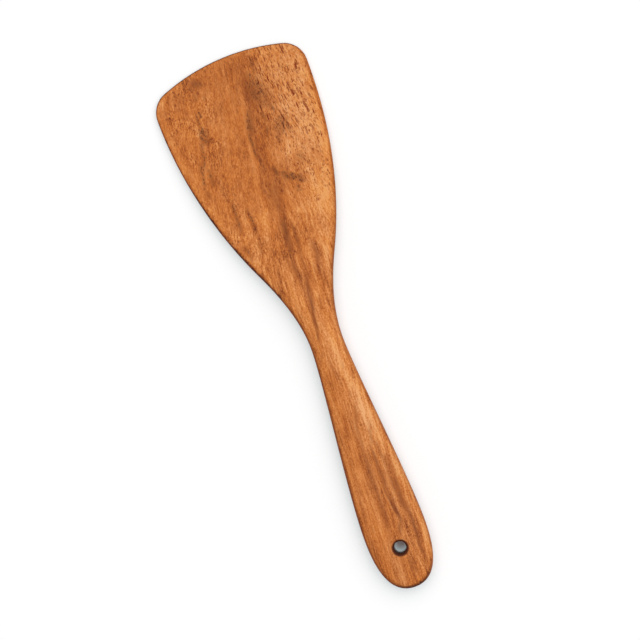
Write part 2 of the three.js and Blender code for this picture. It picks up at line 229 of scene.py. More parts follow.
    (0.14, [(13.3, -78.0, 1.1), (13.6, -90.0, 1.2), (14.0, -102.0, 1.1), (14.4, -113.0, 1.0)]),
    (0.20, [(6.6, -78.0, 0.9), (6.8, -90.0, 1.1), (7.2, -104.0, 0.9)]),
    (0.10, [(1.0, -88.0, 1.0), (1.2, -103.0, 1.0)]),
    (0.14, [(-8.3, -102.0, 0.6), (-8.3, -110.0, 0.6)]),
    (0.12, [(8.0, -97.0, 0.7), (8.5, -114.0, 0.7)]),
    (0.08, [(-11.0, -68.0, 1.0), (-12.5, -102.0, 1.0)]),
    # Handle, faint darker streak in the middle
    (-0.05, [(-1.0, -80.0, 1.6), (-1.5, -92.0, 2.2), (-1.6, -106.0, 2.0), (-1.5, -121.0, 1.4)]),
]

# Brown smudges in the same way, each with its strength
SMUDGES = [
    # Blade, right half
    (0.30, [(10.5, 141.0, 2.5), (12.0, 134.0, 4.2), (13.0, 127.0, 4.2), (14.0, 119.0, 3.0)]),
    (0.14, [(10.5, 133.0, 1.4), (11.0, 125.0, 1.6)]),
    (0.18, [(14.5, 133.0, 1.2), (16.0, 126.0, 1.4)]),
    (0.25, [(14.5, 144.0, 0.8), (15.0, 139.0, 1.0)]),
    (0.30, [(16.5, 120.0, 1.0), (18.0, 116.0, 1.0)]),
    (0.28, [(11.0, 117.0, 0.8), (11.3, 112.0, 0.9)]),
    (0.20, [(10.8, 109.0, 0.8), (10.5, 105.0, 0.8)]),
    (0.36, [(21.0, 112.0, 2.4), (20.0, 109.0, 3.2), (18.0, 106.0, 2.8), (17.0, 102.0, 2.0)]),
    (0.30, [(21.8, 107.0, 0.9), (22.2, 102.0, 0.9)]),
    (0.30, [(14.3, 102.0, 0.8), (14.8, 98.0, 0.9)]),
    (0.28, [(6.5, 87.0, 1.0), (7.5, 82.0, 1.0)]),
    (0.40, [(10.5, 83.0, 1.4), (12.5, 80.0, 2.6), (14.5, 77.0, 2.0)]),
    (0.38, [(15.5, 80.0, 1.6), (17.5, 77.0, 2.6), (19.0, 74.0, 1.6)]),
    (0.22, [(15.0, 73.0, 1.6), (16.0, 70.0, 1.6)]),
    (0.14, [(22.0, 90.0, 2.2), (24.0, 84.0, 2.4)]),
    # Blade, middle
    (0.40, [(3.5, 121.0, 1.2), (2.8, 115.0, 1.9), (2.2, 111.0, 1.8), (1.6, 107.0, 1.0)]),
    (0.40, [(0.8, 108.0, 0.8), (0.3, 103.0, 0.9), (-0.1, 95.0, 0.6)]),
    (0.11, [(2.4, 80.0, 2.4), (3.0, 71.0, 3.2), (3.0, 62.0, 2.4)]),
    # Blade, left half
    (0.30, [(-22.8, 130.0, 0.7), (-23.4, 123.0, 0.9), (-23.8, 117.0, 1.2), (-24.6, 111.0, 0.9)]),
    (0.22, [(-22.5, 120.0, 2.0), (-22.0, 111.0, 2.6)]),
    (0.45, [(-21.0, 129.0, 0.5), (-20.8, 126.0, 0.5)]),
    (0.40, [(-25.6, 112.0, 0.8), (-26.8, 105.0, 1.1), (-28.4, 100.0, 1.0)]),
    (0.42, [(-29.8, 102.0, 1.2), (-30.7, 97.0, 1.2)]),
    (0.34, [(-30.8, 97.0, 0.8), (-31.4, 90.0, 0.9)]),
    (0.32, [(-27.0, 98.0, 1.0), (-27.0, 88.0, 1.0)]),
    (0.20, [(-31.5, 87.0, 1.2), (-31.0, 83.0, 1.2)]),
    (0.28, [(-20.5, 78.0, 0.8), (-21.2, 70.0, 1.0), (-21.0, 64.0, 0.9), (-21.5, 59.0, 0.7)]),
    (0.28, [(-14.4, 71.0, 0.5), (-13.6, 64.0, 0.8), (-13.4, 59.0, 0.7)]),
    (0.30, [(-23.5, 149.0, 0.4), (-24.2, 145.0, 0.6)]),
    (0.20, [(-18.0, 146.0, 2.6), (-16.5, 142.0, 2.6)]),
    (0.40, [(-15.3, 144.0, 0.5), (-15.0, 142.0, 0.5)]),
    (0.18, [(-20.2, 139.0, 1.0), (-20.0, 135.0, 1.2)]),
    (0.16, [(-15.5, 137.0, 0.8), (-15.3, 133.0, 0.8)]),
    # Shoulder and neck
    (0.32, [(0.8, 60.0, 1.4), (1.1, 51.0, 1.8), (0.9, 44.0, 1.7), (0.2, 38.0, 1.0)]),
    (0.28, [(5.4, 57.0, 0.6), (5.3, 46.0, 0.8), (5.0, 36.0, 0.7)]),
    (0.28, [(-1.5, 36.0, 1.2), (-1.2, 30.0, 1.7), (-0.5, 24.0, 1.2)]),
    (0.48, [(3.2, 29.0, 1.0), (2.7, 23.0, 1.4), (2.1, 18.0, 1.4), (1.4, 13.0, 1.2), (0.7, 7.0, 1.2),
            (-0.3, 2.0, 1.1), (-1.1, -3.0, 1.0), (-2.2, -8.0, 0.8), (-2.8, -12.0, 0.6)]),
    (0.28, [(4.9, 36.0, 0.5), (4.6, 29.0, 0.6)]),
    (0.24, [(12.4, 44.0, 1.0), (12.8, 35.0, 1.4), (11.2, 26.0, 1.2), (10.6, 20.0, 0.9)]),
    (0.20, [(-3.3, 39.0, 0.6), (-3.6, 31.0, 0.6)]),
    (0.30, [(-9.2, 46.0, 0.5), (-8.8, 42.0, 0.6)]),
    (0.24, [(-21.6, 50.0, 0.5), (-21.5, 43.0, 0.6)]),
    (0.20, [(-22.8, 52.0, 1.6), (-22.6, 48.0, 1.6)]),
    (0.20, [(-14.8, 51.0, 1.0), (-14.9, 45.0, 1.0)]),
    (0.32, [(9.2, 30.0, 0.4), (9.2, 25.0, 0.5)]),
    (0.28, [(7.1, 24.0, 0.4), (7.0, 20.0, 0.5)]),
    (0.28, [(6.0, 13.0, 0.5), (6.0, 7.0, 0.6)]),
    (0.25, [(-2.6, -16.0, 0.4), (-3.6, -19.0, 0.5)]),
    (0.22, [(-5.0, -20.0, 0.4), (-6.0, -23.0, 0.5)]),
    (0.26, [(0.2, -22.0, 0.5), (-0.4, -31.0, 0.6)]),
    (0.26, [(5.4, -25.0, 0.4), (5.3, -28.0, 0.5)]),
    (0.34, [(8.4, -33.0, 0.4), (8.4, -35.0, 0.4)]),
    (0.25, [(3.8, -41.0, 0.4), (3.7, -44.0, 0.4)]),
    # Handle
    (0.32, [(3.8, -48.0, 0.8), (2.4, -55.0, 1.0), (1.3, -60.0, 0.9), (0.6, -67.0, 0.9), (0.0, -74.0, 0.8)]),
    (0.16, [(0.0, -73.0, 1.2), (-0.8, -85.0, 1.6), (-1.2, -97.0, 1.6)]),
    (0.46, [(4.3, -71.0, 0.7), (4.2, -80.0, 0.9), (4.3, -88.0, 1.2), (4.4, -96.0, 1.2), (4.5, -102.0, 1.2),
            (5.0, -108.0, 1.2), (5.7, -114.0, 1.0), (6.3, -120.0, 0.7)]),
    (0.34, [(4.6, -104.0, 0.6), (5.0, -111.0, 0.7)]),
    (0.20, [(3.4, -118.0, 0.8), (3.0, -124.0, 0.8)]),
    (0.20, [(2.4, -136.0, 0.7), (2.2, -143.0, 0.7)]),
    (0.24, [(8.0, -71.0, 0.8), (8.0, -80.0, 0.8)]),
    (0.36, [(9.8, -79.0, 1.8), (9.9, -88.0, 2.3), (9.8, -95.0, 2.2), (10.2, -102.0, 2.0),
            (11.0, -110.0, 1.8), (11.6, -116.0, 1.3)]),
    (0.46, [(12.1, -113.0, 0.9), (11.4, -122.0, 1.0), (11.1, -130.0, 0.9), (11.5, -136.0, 0.8),
            (12.4, -141.0, 0.5)]),
    (0.24, [(-0.7, -92.0, 1.2), (-1.2, -100.0, 1.4), (-1.7, -108.0, 1.4), (-1.8, -115.0, 1.3),
            (-1.8, -120.0, 0.9)]),
    (0.28, [(4.0, -134.0, 0.6), (3.7, -140.0, 0.9), (3.7, -146.0, 0.7)]),
    (0.20, [(3.9, -116.0, 0.6), (4.2, -121.0, 0.7)]),
    (0.20, [(-9.6, -92.0, 0.5), (-9.5, -96.0, 0.5)]),
    (0.20, [(-10.2, -113.0, 0.5), (-10.2, -117.0, 0.5)]),
    (0.24, [(-14.3, -120.0, 0.4), (-14.3, -124.0, 0.4)]),
    (0.24, [(8.0, -59.0, 0.6), (8.3, -65.0, 0.7)]),
    (0.20, [(6.8, -63.0, 1.0), (6.6, -72.0, 1.3)]),
    (0.22, [(5.4, -45.0, 0.4), (5.2, -48.0, 0.4)]),
]

# Zones that are paler and pinker, or more orange below 0, in the same way
PINK = [
    (0.45, [(28.0, 150.0, 16.0), (24.0, 110.0, 16.0), (20.0, 70.0, 14.0)]),
    (0.20, [(0.0, 66.0, 22.0), (0.0, -30.0, 16.0)]),
    (0.45, [(5.0, -30.0, 6.0), (6.0, -75.0, 7.0), (7.5, -115.0, 8.0), (5.0, -150.0, 12.0)]),
    (0.35, [(-5.0, -122.0, 10.0), (-5.0, -150.0, 10.0)]),
    (0.30, [(6.0, -40.0, 4.0), (8.0, -66.0, 3.5)]),
    (-0.60, [(4.3, 106.0, 2.0), (4.6, 88.0, 2.4)]),
    (-0.20, [(-40.0, 140.0, 8.0), (-30.0, 60.0, 8.0)]),
    (-0.45, [(41.5, 142.0, 3.0), (41.0, 116.0, 3.0), (38.5, 92.0, 3.0), (33.5, 66.0, 3.0)]),
]


def wooden_body(node):
    """A copy of the CAD node with small even faces, its facets smoothed off without shrinking it."""
    mesh = node.data.copy()
    work = bmesh.new()
    work.from_mesh(mesh)
    bmesh.ops.remove_doubles(work, verts=work.verts, dist=WELD_DISTANCE)
    work.to_mesh(mesh)
    work.free()
    body = bpy.data.objects.new("wooden_spatula", mesh)
    bpy.context.scene.collection.objects.link(body)
    remesh = body.modifiers.new("even_faces", "REMESH")
    remesh.mode = "VOXEL"
    remesh.voxel_size = FACE_SIZE
    graph = bpy.context.evaluated_depsgraph_get()
    body.data = bpy.data.meshes.new_from_object(body.evaluated_get(graph))
    body.modifiers.clear()
    smooth_points(body.data)
    body.data.shade_smooth()
    # The figure holds the grain and also painted shade and highlights along the rims
    paint(body.data, "figure", FIGURE_AND_RIM_LIGHT)
    paint(body.data, "smudges", SMUDGES)
    paint(body.data, "pink", PINK)
    return body


def smooth_points(mesh):
    """Moves each point towards the mean of its neighbours and back out, and keeps it in the CAD's box."""
    points = np.empty(len(mesh.vertices) * 3)
    mesh.vertices.foreach_get("co", points)
    points = points.reshape(-1, 3)
    edges = np.empty(len(mesh.edges) * 2, dtype=np.int64)
    mesh.edges.foreach_get("vertices", edges)
    start, end = edges.reshape(-1, 2).T
    count = len(points)
    neighbours = np.bincount(start, minlength=count) + np.bincount(end, minlength=count)
    for _ in range(SMOOTHING_ROUNDS):
        for step in (SMOOTHING_STEP, SWELLING_STEP):
            for axis in range(3):
                place = points[:, axis]
                total = np.bincount(start, place[end], count) + np.bincount(end, place[start], count)
                points[:, axis] = place + step * (total / neighbours - place)
    low, high = cad_box
    mesh.vertices.foreach_set("co", np.clip(points, low, high).ravel())
    mesh.update()


def paint(mesh, name, streaks):
    """Keeps the sum of the streaks at each point. They fade on upright sides and drift to the underside."""
    count = len(mesh.vertices)
    points = np.empty(count * 3)
    mesh.vertices.foreach_get("co", points)
    normals = np.empty(count * 3)
    mesh.vertices.foreach_get("normal", normals)
    upward = normals.reshape(-1, 3)[:, 2:]
    drift = np.clip(-upward, 0, 1) * UNDERSIDE_DRIFT
    x, y = (points.reshape(-1, 3)[:, :2] / MM + drift).T
    x = x + sum(reach * np.sin(y / run_along + x / run_across) for reach, run_along, run_across in WAVES)
    total = np.zeros(count)
    for strength, line in streaks:
        across, along, half_width = np.array(line[::-1]).T
        beside = (x - np.interp(y, along, across)) / np.interp(y, along, half_width)
        half_length = (along[-1] - along[0]) / 2 + STREAK_END
        ahead = (y - (along[-1] + along[0]) / 2) / half_length
        total += strength * np.exp(-beside ** 2) * np.clip(1 - ahead ** 4, 0, 1)
    total *= np.interp(np.abs(upward[:, 0]), (UPRIGHT, LEVEL), (SIDE_SHARE, 1))
    mesh.attributes.new(name, "FLOAT", "POINT").data.foreach_set("value", total)


# Node trees

# Sockets of a mix node for colours
MIX_SHARE = 0
MIX_FIRST = 6
MIX_SECOND = 7
MIX_RESULT = 2


def add_node(tree, kind, inputs=(), **settings):
    """A new node. inputs pairs each socket with a value, or with the socket to link to it."""
    node = tree.nodes.new(kind)
    for name, value in settings.items():
        setattr(node, name, value)
    for socket, value in dict(inputs).items():
        if isinstance(value, bpy.types.NodeSocket):
            tree.links.new(value, node.inputs[socket])
        else:
            node.inputs[socket].default_value = value
    return node


def calc(tree, operation, *values, clamp=False):
    """The result of a math node."""
    node = add_node(tree, "ShaderNodeMath", enumerate(values), operation=operation, use_clamp=clamp)
    return node.outputs[0]


def vector_calc(tree, operation, *values):
    """The vector that a vector math node gives."""
    return add_node(tree, "ShaderNodeVectorMath", enumerate(values), operation=operation).outputs["Vector"]


def add_up(tree, start, values, shares):
    """start, and to it each value that shares names, times its share."""
    total = start
    for name, share in shares.items():
        total = calc(tree, "MULTIPLY_ADD", values[name], share, total)
    return total


def fade(tree, value, start, end):
    """A smooth rise from 0 where value is start to 1 where it is end."""
    inputs = {"Value": value, "From Min": start, "From Max": end}
    return add_node(tree, "ShaderNodeMapRange", inputs, interpolation_type="SMOOTHSTEP").outputs["Result"]


def noise(tree, place, size, detail, shift):
    """Noise about 0, from about -0.5 to 0.5. size is that of its spots across, along and in depth."""
    scale = tuple(1 / length for length in size)
    scaled = vector_calc(tree, "MULTIPLY_ADD", place, scale, (shift, shift, shift))
    inputs = {"Vector": scaled, "Scale": 1.0, "Detail": detail, "Roughness": 0.5}
    texture = add_node(tree, "ShaderNodeTexNoise", inputs, noise_dimensions="3D")
    return calc(tree, "SUBTRACT", texture.outputs["Fac"], 0.5)


def painted(tree, name):
    """What paint has kept under this name."""
    return add_node(tree, "ShaderNodeAttribute", attribute_name=name).outputs["Fac"]


def blend(tree, share, first, second, kind="MIX"):
    """The colour that is first where share is 0 and second, or their blend of that kind, where it is 1."""
    inputs = {MIX_SHARE: share, MIX_FIRST: first, MIX_SECOND: second}
    return add_node(tree, "ShaderNodeMix", inputs, data_type="RGBA", blend_type=kind).outputs[MIX_RESULT]


def place_in_mm(tree):
    """The place on the object, in millimetres."""
    coordinates = add_node(tree, "ShaderNodeTexCoord")
    return vector_calc(tree, "MULTIPLY", coordinates.outputs["Object"], (1 / MM, 1 / MM, 1 / MM))


def round_share(tree, place, middle, outer, inner):
    """1 within inner mm of an upright axis through middle, 0 further off than outer mm."""
    from_axis = vector_calc(tree, "SUBTRACT", place, (*middle, 0.0))
    level = vector_calc(tree, "MULTIPLY", from_axis, (1.0, 1.0, 0.0))
    length = add_node(tree, "ShaderNodeVectorMath", {0: level}, operation="LENGTH")
    return fade(tree, length.outputs["Value"], outer, inner)


def new_material(name):
    """An empty node material and its output node."""
    material = bpy.data.materials.new(name)
    material.use_nodes = True
    material.node_tree.nodes.clear()
    return material, add_node(material.node_tree, "ShaderNodeOutputMaterial")


# Wood

# Colours from dark to light of the orange heartwood and of the paler, pinker wood
TONE_STEPS = (0.0, 0.25, 0.5, 0.75, 1.0)
ORANGE_WOOD = [
    (0.055, 0.012, 0.002, 1),
    (0.26, 0.056, 0.009, 1),
    (0.49, 0.137, 0.024, 1),
    (0.65, 0.213, 0.046, 1),
    (0.80, 0.340, 0.100, 1),
]
TAN_WOOD = [
    (0.060, 0.018, 0.005, 1),
    (0.27, 0.070, 0.017, 1),
    (0.51, 0.167, 0.042, 1),
    (0.67, 0.255, 0.080, 1),
    (0.83, 0.400, 0.165, 1),
]

# Tints that the wood's colour is multiplied by, of which the rim and end-grain tints are partly painted
# shade, and the colour of the ring round the hole, partly burnt wood and partly painted shade of the bore
BROWN_SMUDGE = (0.42, 0.31, 0.29, 1)
GREY_SMUDGE = (0.38, 0.37, 0.45, 1)
PIT_TINT = (0.31, 0.10, 0.03, 1)
EDGE_AND_SHADE_TINT = (0.50, 0.34, 0.18, 1)
END_GRAIN_AND_SHADE_TINT = (0.28, 0.22, 0.17, 1)
BURNT_AND_SHADED = (0.060, 0.010, 0.001, 1)
BURNT_AND_SHADED_RING = (BORE_RADIUS + 1.8, BORE_RADIUS + 0.7)

# Run of the fibres: how much of a step along counts on the handle, and what is added to that from the start
# of the neck and of the blade on, in mm. So the grain is drawn out most on the handle
NECK_START = -30.0
BLADE_START = 38.0
HANDLE_SHARE = 0.25
NECK_SHARE = 0.12
BLADE_SHARE = 0.63

# Lean of the fibres: everywhere, and on the blade at the left and, added to that, from left to right
LEAN = -0.04
LEFT_LEAN = -0.13
ADDED_LEAN = 0.23
ADDED_LEAN_FADE = (-10.0, 35.0)

# Waves of the fibres: the spots' size across, along and in depth, the detail, the shift and the reach in mm
FIBRE_WAVES = [
    ((14, 17, 14), 1.0, 3.1, 4.0),
    ((4, 7.5, 4), 1.0, 7.7, 1.0),
]

# Noises: the place each reads, its spots' size across, along and in depth there, its detail and its shift
NOISES = {
    "bands": ("grain", (6.5, 40, 8), 1.0, 0.0),
    "stripes": ("grain", (3.2, 13, 4), 1.0, 29.0),
    "streaks": ("grain", (1.6, 6, 2.2), 1.0, 11.0),
    "threads": ("grain", (0.8, 2.6, 1.2), 1.0, 23.0),
    "specks": ("short_grain", (0.55, 1.1, 0.6), 1.0, 31.0),
    "clouds": ("place", (16, 26, 14), 2.0, 5.0),
    "hues": ("grain", (5, 13, 6), 1.0, 41.0),
    "fine_hues": ("grain", (1.7, 4.5, 2), 1.0, 47.0),
    "patches": ("place", (9, 13, 9), 1.0, 37.0),
    "chains": ("grain", (1.7, 8, 3), 1.0, 53.0),
    "pits": ("short_grain", (0.5, 0.95, 0.5), 1.0, 60.0),
}

# Zones along the board, each with the places in mm where it begins and where it is full
LENGTHS = {
    "on_blade": (25.0, 70.0),
    "on_handle": (-10.0, -50.0),
    "long_grain": (75.0, 40.0),
    "large_dashes": (88.0, 112.0),
    "small_dashes": (54.0, 84.0),
}

# Zones of a part of the width, each with the zone along the board that it lies in, and where it begins and
# is full across in mm
SIDES = {
    "open_grain": ("on_blade", 3.0, 18.0),
    "left_grain": ("on_blade", -6.0, -16.0),
    "right_handle": ("on_handle", -2.0, 4.0),
    "large_dashes": ("large_dashes", 10.0, 22.0),
    "small_dashes": ("small_dashes", 3.0, 18.0),
}

# Values of their noises where patches and chains of vessels begin and are full
PATCHES_FADE = (-0.02, 0.14)
CHAINS_FADE = (-0.05, 0.12)

# Open vessels end here across in mm, on a line along the right edge that leans by so much
EDGE_LEAN = -0.1
OFF_EDGE_FADE = (30.5, 26.5)

# Tone: its layers, and the strength of the fine grain and the stripes with what zones add to it
TONE = 0.54
TONE_LAYERS = {"bands": 0.25, "clouds": 0.18, "open_grain": 0.21}
FINE_LAYERS = {"streaks": 0.55, "threads": 0.85, "specks": 0.85}
FINE_STRENGTH = 0.62
FINE_IN_ZONES = {
    "long_grain": 0.34,
    "on_handle": -0.15,
    "open_grain": 0.16,
    "right_handle": 0.30,
    "left_grain": 0.10,
    "left_patches": 0.35,
}
STRIPE_STRENGTH = 0.26
STRIPES_IN_ZONES = {"long_grain": 0.40}

# How much of the pinker wood there is
PINKNESS = 0.20
PINK_LAYERS = {"hues": 1.4, "fine_hues": 1.0}

# Smudges are broken up by the fine grain, by its specks more on the blade
SMUDGE_STRENGTH = 1.6
SMUDGE_LAYERS = {"streaks": 4.0, "threads": 8.0}
SPECKLE_STRENGTH = 3.0
SPECKLES_IN_ZONES = {"on_blade": 7.0}

# Pits: how crowded they are, also in smudges, and from what value on their noise is a pit
CROWDING = -0.45
CROWDING_IN_ZONES = {"vessels": 0.9, "left_patches": 0.8, "right_handle": 0.4}
SMUDGE_CROWDING = 0.4
SMUDGE_CROWDING_IN_ZONES = {"on_blade": 1.0}
CROWDING_SHARE = 0.16
PIT_FADE = (0.17, 0.27)
PIT_DEPTH = 0.7

# Dashes: the cell in mm across and along that has one at most, the shift and the depth
LARGE_CELL = (1.8, 6.6)
LARGE_SHIFT = 75.0
SMALL_CELL = (1.3, 2.6)
SMALL_SHIFT = 91.0
SMALL_DEPTH = 0.75

# Dashes: the share of cells that has one, their least reach in a cell and what chance adds to it, the
# raggedness of their outline, where they fade, and the least depth and what chance adds to it
DASH_PRESENCE = 0.35
PRESENCE_IN_ZONES = {"chains": 0.60}
LEAST_REACH = 0.18
ADDED_REACH = 0.24
RAGGED_SIZE = (0.5, 0.8, 0.5)
RAGGEDNESS = 1.6
DASH_FADE = (1.15, 0.6)
LEAST_DEPTH = 0.5
ADDED_DEPTH = 0.5

# Rims: the upward parts of the normal between which a rim darkens, and how dark it is on each side. The
# darkening is partly a darker edge and partly painted shade, deeper on the left, which faces away from the
# light
RIM_FADE = (0.95, 0.45)
RIM_DARKNESS = 0.75
RIM_SHADE_ON_SIDES = {"right": -0.40, "lengthwise": 0.45}

# End grain: the upward parts of the normal between which it begins, how far the surface has to face along
# rather than across, how dark it is at each end and how much less on the upright part
# The end grain's darkening is partly the wood's darker end grain and partly painted shade, deepest at the
# handle's end, which faces away from the light
END_FADE = (0.975, 0.72)
END_TURN = (-0.55, 0.60)
END_DARKNESS = 0.80
END_SHADE_ON_SIDES = {"ahead": -0.20}
UPRIGHT_LOSS = -0.45

# Finish
PIT_HEIGHT = -1.0
THREAD_HEIGHT = 0.5
BUMP_STRENGTH = 0.6
BUMP_DISTANCE = 0.15 * MM
ROUGHNESS = 0.55
ROUGHNESS_LAYERS = {"threads": 0.2}
SPECULAR_LEVEL = 0.12


def grain_places(tree):
    """Places in mm by name: as they are, along the long fibres, and along them without their stretching.

    The fibres wave, and lean on the blade. x and y are the place across and along.
    """
    place = place_in_mm(tree)
    parts = add_node(tree, "ShaderNodeSeparateXYZ", {0: place})
    x = parts.outputs["X"]
    y = parts.outputs["Y"]
    z = parts.outputs["Z"]
    up_blade = calc(tree, "MAXIMUM", calc(tree, "SUBTRACT", y, BLADE_START), 0.0)
    up_neck = calc(tree, "MAXIMUM", calc(tree, "SUBTRACT", y, NECK_START), 0.0)
    along = calc(tree, "MULTIPLY", y, HANDLE_SHARE)
    along = calc(tree, "MULTIPLY_ADD", up_neck, NECK_SHARE, along)
    along = calc(tree, "MULTIPLY_ADD", up_blade, BLADE_SHARE, along)
    lean = calc(tree, "MULTIPLY_ADD", fade(tree, x, *ADDED_LEAN_FADE), ADDED_LEAN, LEFT_LEAN)
    across = calc(tree, "MULTIPLY_ADD", up_blade, lean, x)
    across = calc(tree, "MULTIPLY_ADD", y, LEAN, across)
    even = add_node(tree, "ShaderNodeCombineXYZ", {"X": x, "Y": along, "Z": z}).outputs[0]
    for size, detail, shift, reach in FIBRE_WAVES:
        across = calc(tree, "MULTIPLY_ADD", noise(tree, even, size, detail, shift), reach, across)
    grain = add_node(tree, "ShaderNodeCombineXYZ", {"X": across, "Y": along, "Z": z}).outputs[0]
    short_grain = add_node(tree, "ShaderNodeCombineXYZ", {"X": across, "Y": y, "Z": z}).outputs[0]
    return {"place": place, "grain": grain, "short_grain": short_grain, "x": x, "y": y}


def wood_values(tree):
    """The wood's places, noises and zones by name. A zone is 0 outside it and 1 where it is full."""
    values = grain_places(tree)
    x = values["x"]
    y = values["y"]
    for name, (read, size, detail, shift) in NOISES.items():
        values[name] = noise(tree, values[read], size, detail, shift)
    lengths = {name: fade(tree, y, start, full) for name, (start, full) in LENGTHS.items()}
    values.update(lengths)
    for name, (length, start, full) in SIDES.items():
        values[name] = calc(tree, "MULTIPLY", lengths[length], fade(tree, x, start, full))
    patches = fade(tree, values["patches"], *PATCHES_FADE)
    values["left_patches"] = calc(tree, "MULTIPLY", values["left_grain"], patches)
    values["chains"] = fade(tree, values["chains"], *CHAINS_FADE)
    values["off_edge"] = fade(tree, calc(tree, "MULTIPLY_ADD", y, EDGE_LEAN, x), *OFF_EDGE_FADE)
    open_part = calc(tree, "MULTIPLY", values["open_grain"], values["off_edge"])
    values["vessels"] = calc(tree, "MULTIPLY", values["chains"], open_part)
    return values


def wood_colour(tree, values):
    """The colour of the wood with its figure, which holds painted shade and highlights along the rims,
    without smudges and pits.
    """
    fine = add_up(tree, 0.0, values, FINE_LAYERS)
    fine_share = add_up(tree, FINE_STRENGTH, values, FINE_IN_ZONES)
    stripe_share = add_up(tree, STRIPE_STRENGTH, values, STRIPES_IN_ZONES)
    tone = add_up(tree, TONE, values, TONE_LAYERS)
    tone = calc(tree, "MULTIPLY_ADD", fine, fine_share, tone)
    tone = calc(tree, "MULTIPLY_ADD", values["stripes"], stripe_share, tone)
    # The painted figure adds the grain and also painted shade and highlights along the rims
    tone = calc(tree, "ADD", tone, painted(tree, "figure"))
    pinkness = add_up(tree, PINKNESS, values, PINK_LAYERS)
    pinkness = calc(tree, "ADD", pinkness, painted(tree, "pink"), clamp=True)
    return blend(tree, pinkness, ramp(tree, tone, ORANGE_WOOD), ramp(tree, tone, TAN_WOOD))


def ramp(tree, tone, colours):
    """The colour for a tone from 0, dark, to 1, light."""
    node = add_node(tree, "ShaderNodeValToRGB", {0: tone})
    stops = node.color_ramp.elements
    for step in TONE_STEPS[1:-1]:
        stops.new(step)
    for stop, step, colour in zip(stops, TONE_STEPS, colours):
        stop.position = step
        stop.color = colour
    return node.outputs["Color"]


def smudged_share(tree, values):
    """How smudged the wood is, from 0 to 1."""
    uneven = add_up(tree, SMUDGE_STRENGTH, values, SMUDGE_LAYERS)
    speckled = add_up(tree, SPECKLE_STRENGTH, values, SPECKLES_IN_ZONES)
    uneven = calc(tree, "MULTIPLY_ADD", values["specks"], speckled, uneven)
    return calc(tree, "MULTIPLY", painted(tree, "smudges"), uneven, clamp=True)


def pitted_share(tree, values, smudged):
    """How deep the pits and dashes are, from 0 where there are none to 1."""
    crowding = add_up(tree, CROWDING, values, CROWDING_IN_ZONES)
    in_smudges = add_up(tree, SMUDGE_CROWDING, values, SMUDGE_CROWDING_IN_ZONES)
    crowding = calc(tree, "MULTIPLY_ADD", smudged, in_smudges, crowding)
    pits = fade(tree, calc(tree, "MULTIPLY_ADD", crowding, CROWDING_SHARE, values["pits"]), *PIT_FADE)
    presence = add_up(tree, DASH_PRESENCE, values, PRESENCE_IN_ZONES)
    presence = calc(tree, "MULTIPLY", presence, values["off_edge"])
    present_large = calc(tree, "MULTIPLY", presence, values["large_dashes"])
    present_small = calc(tree, "MULTIPLY", presence, values["small_dashes"])
    large = dashes(tree, values["grain"], LARGE_CELL, present_large, LARGE_SHIFT)
    small = dashes(tree, values["grain"], SMALL_CELL, present_small, SMALL_SHIFT)
    pitted = calc(tree, "MAXIMUM", calc(tree, "MULTIPLY", small, SMALL_DEPTH), large)
    return calc(tree, "MAXIMUM", calc(tree, "MULTIPLY", pits, PIT_DEPTH), pitted)


def dashes(tree, grain, cell, presence, shift):
    """From 0 to 1 in separate ragged dashes, at most one in each cell of this size across and along."""
    ragged = noise(tree, grain, RAGGED_SIZE, 1.0, shift)
    scaled = vector_calc(tree, "MULTIPLY_ADD", grain, (1 / cell[0], 1 / cell[1], 0.0), (shift, shift, 0.0))
    inputs = {"Vector": scaled, "Scale": 1.0, "Randomness": 1.0}
    cells = add_node(tree, "ShaderNodeTexVoronoi", inputs, voronoi_dimensions="2D", feature="F1")
    chance = add_node(tree, "ShaderNodeSeparateColor", {0: cells.outputs["Color"]})
    reach = calc(tree, "MULTIPLY_ADD", chance.outputs["Red"], ADDED_REACH, LEAST_REACH)
    inside = calc(tree, "DIVIDE", cells.outputs["Distance"], reach)
    inside = calc(tree, "MULTIPLY_ADD", ragged, RAGGEDNESS, inside)
    dash = fade(tree, inside, *DASH_FADE)
    present = calc(tree, "GREATER_THAN", presence, chance.outputs["Green"])
    depth = calc(tree, "MULTIPLY_ADD", chance.outputs["Blue"], ADDED_DEPTH, LEAST_DEPTH)
    return calc(tree, "MULTIPLY", calc(tree, "MULTIPLY", dash, present), depth)


